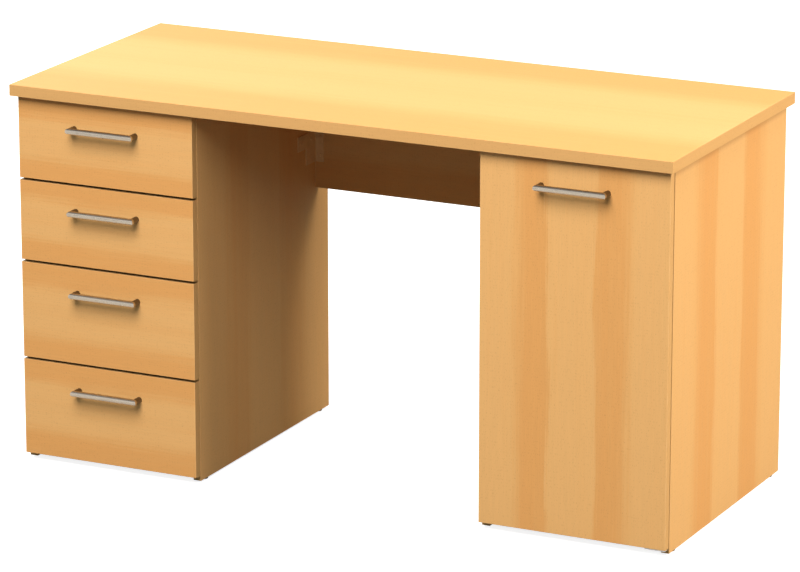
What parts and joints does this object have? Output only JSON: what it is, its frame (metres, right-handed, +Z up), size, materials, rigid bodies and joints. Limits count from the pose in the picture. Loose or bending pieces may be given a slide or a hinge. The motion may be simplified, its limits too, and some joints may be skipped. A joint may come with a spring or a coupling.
{
  "type": "pedestal desk",
  "caption": "Rectangular writing desk on two floor-standing pedestals, with roller-runner drawers on one side, a hinged cupboard on the other and a modesty panel behind the knee space.",
  "frame": {"origin": "on the floor, in the middle of the outer box", "axes": "+Z up, front with the drawers and door towards -Y, +X to the right as seen from the front, along the desk's length"},
  "size_m": [1.364, 0.6066, 0.75],
  "materials": {
    "beech_board": "beech-decor melamine on chipboard, satin",
    "drawer_board": "beech-decor melamine drawer board, satin",
    "hardboard": "thin hardboard, smooth face",
    "satin_nickel": "satin nickel",
    "coated_steel": "epoxy coated sheet steel",
    "nylon": "white nylon",
    "dark_plastic": "dark brown plastic",
    "brown_plastic": "light brown moulded plastic",
    "zinc_steel": "zinc plated steel"
  },
  "bodies": {
    "carcass": {"shelf_pins": "zinc_steel", "cupboard_shelf": "beech_board", "desktop": "beech_board", "left_outer_side": "beech_board", "left_inner_side": "beech_board", "left_bottom_panel": "beech_board", "left_back_panel": "hardboard", "right_inner_side": "beech_board", "right_outer_side": "beech_board", "right_bottom_panel": "beech_board", "right_back_panel": "hardboard", "modesty_panel": "beech_board", "corner_brackets": "brown_plastic", "pivot_hinge_plates": "zinc_steel", "door_catch": "brown_plastic", "floor_glides": "dark_plastic", "cabinet_runners": "coated_steel", "cam_fittings": "zinc_steel", "connecting_bolts": "zinc_steel"},
    "drawer_1": {"drawer_1_front": "beech_board", "drawer_1_left_side": "drawer_board", "drawer_1_right_side": "drawer_board", "drawer_1_back": "drawer_board", "drawer_1_bottom": "hardboard", "drawer_1_handle": "satin_nickel", "drawer_1_runners": "coated_steel"},
    "drawer_1_front_rollers": {"drawer_1_front_rollers": "nylon"},
    "drawer_1_rear_rollers": {"drawer_1_rear_rollers": "nylon"},
    "drawer_2": {"drawer_2_front": "beech_board", "drawer_2_left_side": "drawer_board", "drawer_2_right_side": "drawer_board", "drawer_2_back": "drawer_board", "drawer_2_bottom": "hardboard", "drawer_2_handle": "satin_nickel", "drawer_2_runners": "coated_steel"},
    "drawer_2_front_rollers": {"drawer_2_front_rollers": "nylon"},
    "drawer_2_rear_rollers": {"drawer_2_rear_rollers": "nylon"},
    "drawer_3": {"drawer_3_front": "beech_board", "drawer_3_left_side": "drawer_board", "drawer_3_right_side": "drawer_board", "drawer_3_back": "drawer_board", "drawer_3_bottom": "hardboard", "drawer_3_handle": "satin_nickel", "drawer_3_runners": "coated_steel"},
    "drawer_3_front_rollers": {"drawer_3_front_rollers": "nylon"},
    "drawer_3_rear_rollers": {"drawer_3_rear_rollers": "nylon"},
    "drawer_4": {"drawer_4_front": "beech_board", "drawer_4_left_side": "drawer_board", "drawer_4_right_side": "drawer_board", "drawer_4_back": "drawer_board", "drawer_4_bottom": "hardboard", "drawer_4_handle": "satin_nickel", "drawer_4_runners": "coated_steel"},
    "drawer_4_front_rollers": {"drawer_4_front_rollers": "nylon"},
    "drawer_4_rear_rollers": {"drawer_4_rear_rollers": "nylon"},
    "door": {"door_panel": "beech_board", "door_handle": "satin_nickel", "door_pivot_plates": "zinc_steel", "pivot_pins": "zinc_steel", "catch_plate": "zinc_steel"}
  },
  "joints": [
    {"name": "drawer_1_slide", "type": "slide", "parent": "carcass", "child": "drawer_1", "axis": [0, -1, 0], "range_m": [0, 0.32]},
    {"name": "drawer_1_front_rollers_spin", "type": "hinge", "parent": "carcass", "child": "drawer_1_front_rollers", "pos_m": [-0.4845, -0.24225, 0.5987], "axis": [1, 0, 0], "range_deg": [0, 1835]},
    {"name": "drawer_1_rear_rollers_spin", "type": "hinge", "parent": "drawer_1", "child": "drawer_1_rear_rollers", "pos_m": [-0.4845, 0.17475, 0.5966], "axis": [1, 0, 0], "range_deg": [0, 1835]},
    {"name": "drawer_2_slide", "type": "slide", "parent": "carcass", "child": "drawer_2", "axis": [0, -1, 0], "range_m": [0, 0.32]},
    {"name": "drawer_2_front_rollers_spin", "type": "hinge", "parent": "carcass", "child": "drawer_2_front_rollers", "pos_m": [-0.4845, -0.24225, 0.4367], "axis": [1, 0, 0], "range_deg": [0, 1835]},
    {"name": "drawer_2_rear_rollers_spin", "type": "hinge", "parent": "drawer_2", "child": "drawer_2_rear_rollers", "pos_m": [-0.4845, 0.17475, 0.4346], "axis": [1, 0, 0], "range_deg": [0, 1835]},
    {"name": "drawer_3_slide", "type": "slide", "parent": "carcass", "child": "drawer_3", "axis": [0, -1, 0], "range_m": [0, 0.32]},
    {"name": "drawer_3_front_rollers_spin", "type": "hinge", "parent": "carcass", "child": "drawer_3_front_rollers", "pos_m": [-0.4845, -0.24225, 0.24195], "axis": [1, 0, 0], "range_deg": [0, 1835]},
    {"name": "drawer_3_rear_rollers_spin", "type": "hinge", "parent": "drawer_3", "child": "drawer_3_rear_rollers", "pos_m": [-0.4845, 0.17475, 0.23985], "axis": [1, 0, 0], "range_deg": [0, 1835]},
    {"name": "drawer_4_slide", "type": "slide", "parent": "carcass", "child": "drawer_4", "axis": [0, -1, 0], "range_m": [0, 0.32]},
    {"name": "drawer_4_front_rollers_spin", "type": "hinge", "parent": "carcass", "child": "drawer_4_front_rollers", "pos_m": [-0.4845, -0.24225, 0.0472], "axis": [1, 0, 0], "range_deg": [0, 1835]},
    {"name": "drawer_4_rear_rollers_spin", "type": "hinge", "parent": "drawer_4", "child": "drawer_4_rear_rollers", "pos_m": [-0.4845, 0.17475, 0.0451], "axis": [1, 0, 0], "range_deg": [0, 1835]},
    {"name": "door_swing", "type": "hinge", "parent": "carcass", "child": "door", "pos_m": [0.6665, -0.27025, 0.369], "axis": [0, 0, 1], "range_deg": [0, 110]}
  ],
  "couplings": [
    {"joint": "drawer_1_front_rollers_spin", "follows": "drawer_1_slide", "rad_per_m": 100},
    {"joint": "drawer_1_rear_rollers_spin", "follows": "drawer_1_slide", "rad_per_m": 100},
    {"joint": "drawer_2_front_rollers_spin", "follows": "drawer_2_slide", "rad_per_m": 100},
    {"joint": "drawer_2_rear_rollers_spin", "follows": "drawer_2_slide", "rad_per_m": 100},
    {"joint": "drawer_3_front_rollers_spin", "follows": "drawer_3_slide", "rad_per_m": 100},
    {"joint": "drawer_3_rear_rollers_spin", "follows": "drawer_3_slide", "rad_per_m": 100},
    {"joint": "drawer_4_front_rollers_spin", "follows": "drawer_4_slide", "rad_per_m": 100},
    {"joint": "drawer_4_rear_rollers_spin", "follows": "drawer_4_slide", "rad_per_m": 100}
  ]
}
